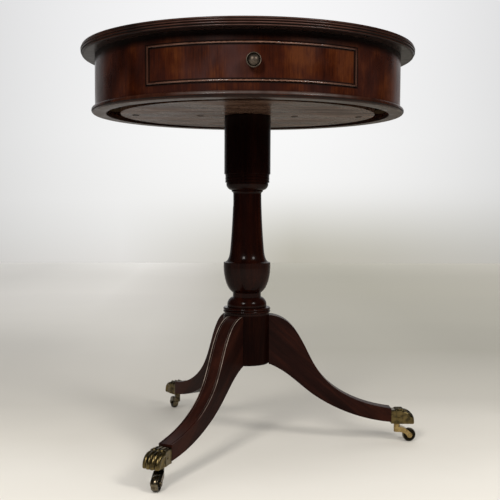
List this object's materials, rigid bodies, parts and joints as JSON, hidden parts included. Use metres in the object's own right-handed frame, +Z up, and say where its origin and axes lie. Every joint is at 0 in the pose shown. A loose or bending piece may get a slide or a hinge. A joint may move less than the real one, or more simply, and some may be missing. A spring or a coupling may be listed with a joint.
{
  "type": "drum table",
  "caption": "Round pedestal table with a drum frieze, a bowed drawer, a turned column and sabre legs that end in brass paw cups on swivel casters.",
  "frame": {"origin": "on the floor, under the axis of the column", "axes": "+Z up along the column, -Y out through the drawer, +X along the leg to the right of the drawer"},
  "size_m": [0.524, 0.508, 0.61],
  "materials": {
    "top_wood": "French-polished dark mahogany with a reeded edge",
    "leather": "waxed deep green leather with thin gilt lines",
    "frieze_wood": "French-polished mahogany veneer, grain upright",
    "drawer_wood": "French-polished mahogany veneer, grain upright",
    "bead_wood": "polished mahogany strip",
    "moulding_wood": "polished mahogany moulding",
    "pedestal_wood": "very dark polished mahogany",
    "inner_wood": "bare planed secondary timber",
    "disc_wood": "bare weathered board, grey-brown",
    "paw_brass": "aged cast brass with dark recesses",
    "caster_brass": "worn cast brass",
    "wheel_brass": "turned brass, tread polished by rolling",
    "knob_bronze": "dark toned brass, worn on the rim",
    "screw_steel": "darkened steel",
    "screw_brass": "darkened brass"
  },
  "bodies": {
    "table": {"top_board": "top_wood", "leather_inset": "leather", "frieze_wall": "frieze_wood", "frieze_rail_upper": "frieze_wood", "frieze_rail_lower": "frieze_wood", "base_moulding": "moulding_wood", "cross_bearer": "inner_wood", "underside_disc": "disc_wood", "disc_screws": "screw_steel", "kicker_screws": "screw_steel", "drawer_stops": "inner_wood", "glue_blocks": "inner_wood", "column": "pedestal_wood", "leg_hub": "pedestal_wood", "paw_screws": "screw_brass", "drawer_runner_left": "inner_wood", "drawer_guide_left": "inner_wood", "drawer_kicker_left": "inner_wood", "drawer_runner_right": "inner_wood", "drawer_guide_right": "inner_wood", "drawer_kicker_right": "inner_wood", "leg_right": "pedestal_wood", "paw_cap_right": "paw_brass", "leg_back_left": "pedestal_wood", "paw_cap_back_left": "paw_brass", "leg_front_left": "pedestal_wood", "paw_cap_front_left": "paw_brass"},
    "drawer": {"cockbead_bottom": "bead_wood", "cockbead_left": "bead_wood", "cockbead_right": "bead_wood", "cockbead_top": "bead_wood", "drawer_back": "inner_wood", "drawer_bottom": "inner_wood", "drawer_front": "drawer_wood", "drawer_knob": "knob_bronze", "drawer_side_left": "inner_wood", "drawer_side_right": "inner_wood", "knob_screw": "screw_steel"},
    "caster_right": {"caster_horn_right": "caster_brass", "caster_pin_right": "caster_brass", "caster_axle_right": "caster_brass"},
    "wheel_right": {"caster_wheel_right": "wheel_brass"},
    "caster_back_left": {"caster_horn_back_left": "caster_brass", "caster_pin_back_left": "caster_brass", "caster_axle_back_left": "caster_brass"},
    "wheel_back_left": {"caster_wheel_back_left": "wheel_brass"},
    "caster_front_left": {"caster_horn_front_left": "caster_brass", "caster_pin_front_left": "caster_brass", "caster_axle_front_left": "caster_brass"},
    "wheel_front_left": {"caster_wheel_front_left": "wheel_brass"}
  },
  "joints": [
    {"name": "drawer_slide", "type": "slide", "parent": "table", "child": "drawer", "axis": [0, -1, 0], "range_m": [0, 0.22]},
    {"name": "caster_right_swivel", "type": "hinge", "parent": "table", "child": "caster_right", "pos_m": [0.24, 0, 0.025], "axis": [0, 0, 1], "continuous": true},
    {"name": "caster_right_roll", "type": "hinge", "parent": "caster_right", "child": "wheel_right", "pos_m": [0.2595, 0, 0.0105], "axis": [0, 1, 0], "continuous": true},
    {"name": "caster_back_left_swivel", "type": "hinge", "parent": "table", "child": "caster_back_left", "pos_m": [-0.12, 0.20785, 0.025], "axis": [0, 0, 1], "continuous": true},
    {"name": "caster_back_left_roll", "type": "hinge", "parent": "caster_back_left", "child": "wheel_back_left", "pos_m": [-0.12699, 0.22605, 0.0105], "axis": [-0.9336, -0.3584, 0], "continuous": true},
    {"name": "caster_front_left_swivel", "type": "hinge", "parent": "table", "child": "caster_front_left", "pos_m": [-0.12, -0.20785, 0.025], "axis": [0, 0, 1], "continuous": true},
    {"name": "caster_front_left_roll", "type": "hinge", "parent": "caster_front_left", "child": "wheel_front_left", "pos_m": [-0.12439, -0.22685, 0.0105], "axis": [0.9744, -0.225, 0], "continuous": true}
  ]
}
